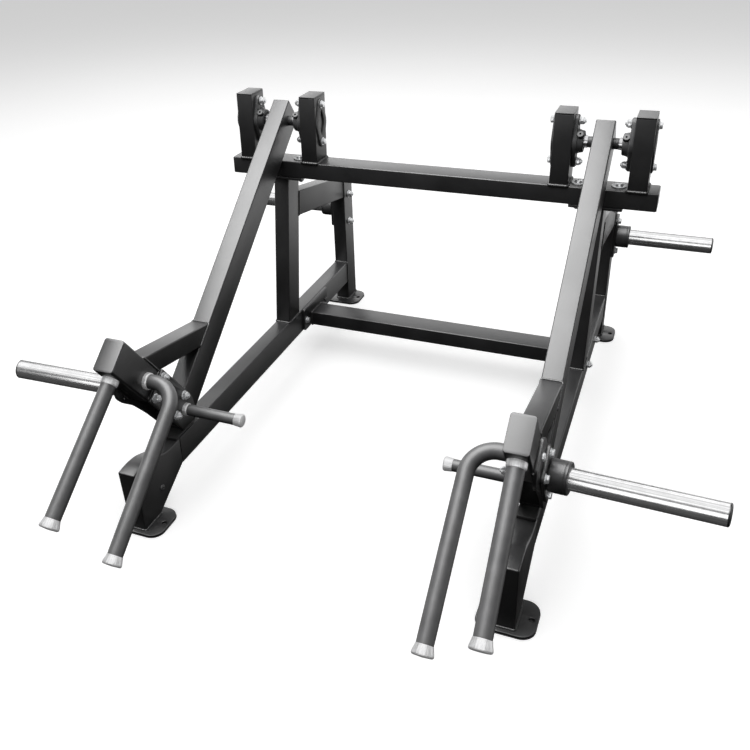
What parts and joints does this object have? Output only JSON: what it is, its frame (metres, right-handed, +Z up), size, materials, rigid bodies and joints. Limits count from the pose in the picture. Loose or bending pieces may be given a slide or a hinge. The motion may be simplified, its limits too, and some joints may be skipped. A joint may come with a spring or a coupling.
{
  "type": "lever squat machine",
  "caption": "Plate-loaded lever squat machine: a bolted tube frame with independent lever arms, hand grips, loading horns and plate storage horns.",
  "frame": {"origin": "on the floor, at the middle of the machine's bounding box", "axes": "+Z up, -Y towards the handles and the user's way in, +X the machine's right-hand side"},
  "size_m": [1.8004, 1.8584, 0.922],
  "materials": {
    "powder_coat": "black fine-texture powder coat, satin",
    "cast_housing": "dark painted casting",
    "shaft_steel": "turned and ground",
    "chrome": "hard chrome with lengthwise brushing",
    "grip_rubber": "matt foam-like grip rubber",
    "black_rubber": "matt moulded rubber"
  },
  "bodies": {
    "frame": {"cross_tube": "powder_coat", "left_front_foot": "powder_coat", "left_front_leg": "powder_coat", "left_inner_back_plate": "cast_housing", "left_inner_bearing_housing": "cast_housing", "left_inner_post": "powder_coat", "left_outer_back_plate": "cast_housing", "left_outer_bearing_housing": "cast_housing", "left_outer_post": "powder_coat", "left_rear_foot": "powder_coat", "left_rear_leg": "powder_coat", "left_side_rail": "powder_coat", "left_stop_pad": "black_rubber", "left_storage_collar": "black_rubber", "left_storage_horn": "chrome", "left_top_bar": "powder_coat", "left_upright": "powder_coat", "right_front_foot": "powder_coat", "right_front_leg": "powder_coat", "right_inner_back_plate": "cast_housing", "right_inner_bearing_housing": "cast_housing", "right_inner_post": "powder_coat", "right_outer_back_plate": "cast_housing", "right_outer_bearing_housing": "cast_housing", "right_outer_post": "powder_coat", "right_rear_foot": "powder_coat", "right_rear_leg": "powder_coat", "right_side_rail": "powder_coat", "right_stop_pad": "black_rubber", "right_storage_collar": "black_rubber", "right_storage_horn": "chrome", "right_top_bar": "powder_coat", "right_upright": "powder_coat", "top_beam": "powder_coat"},
    "left_arm": {"left_arm_brace": "powder_coat", "left_arm_tube": "powder_coat", "left_bent_handle": "grip_rubber", "left_head_box": "powder_coat", "left_inner_bearing_insert": "shaft_steel", "left_inner_knee_plate": "powder_coat", "left_load_collar": "black_rubber", "left_load_horn": "chrome", "left_outer_bearing_insert": "shaft_steel", "left_outer_knee_plate": "powder_coat", "left_pivot_shaft": "shaft_steel", "left_short_grip": "grip_rubber", "left_straight_handle": "grip_rubber"},
    "right_arm": {"right_arm_brace": "powder_coat", "right_arm_tube": "powder_coat", "right_bent_handle": "grip_rubber", "right_head_box": "powder_coat", "right_inner_bearing_insert": "shaft_steel", "right_inner_knee_plate": "powder_coat", "right_load_collar": "black_rubber", "right_load_horn": "chrome", "right_outer_bearing_insert": "shaft_steel", "right_outer_knee_plate": "powder_coat", "right_pivot_shaft": "shaft_steel", "right_short_grip": "grip_rubber", "right_straight_handle": "grip_rubber"}
  },
  "joints": [
    {"name": "left_arm_pivot", "type": "hinge", "parent": "frame", "child": "left_arm", "pos_m": [-0.488, 0.39171, 0.837], "axis": [-1, 0, 0], "range_deg": [0, 45]},
    {"name": "right_arm_pivot", "type": "hinge", "parent": "frame", "child": "right_arm", "pos_m": [0.488, 0.39171, 0.837], "axis": [-1, 0, 0], "range_deg": [0, 45]}
  ]
}
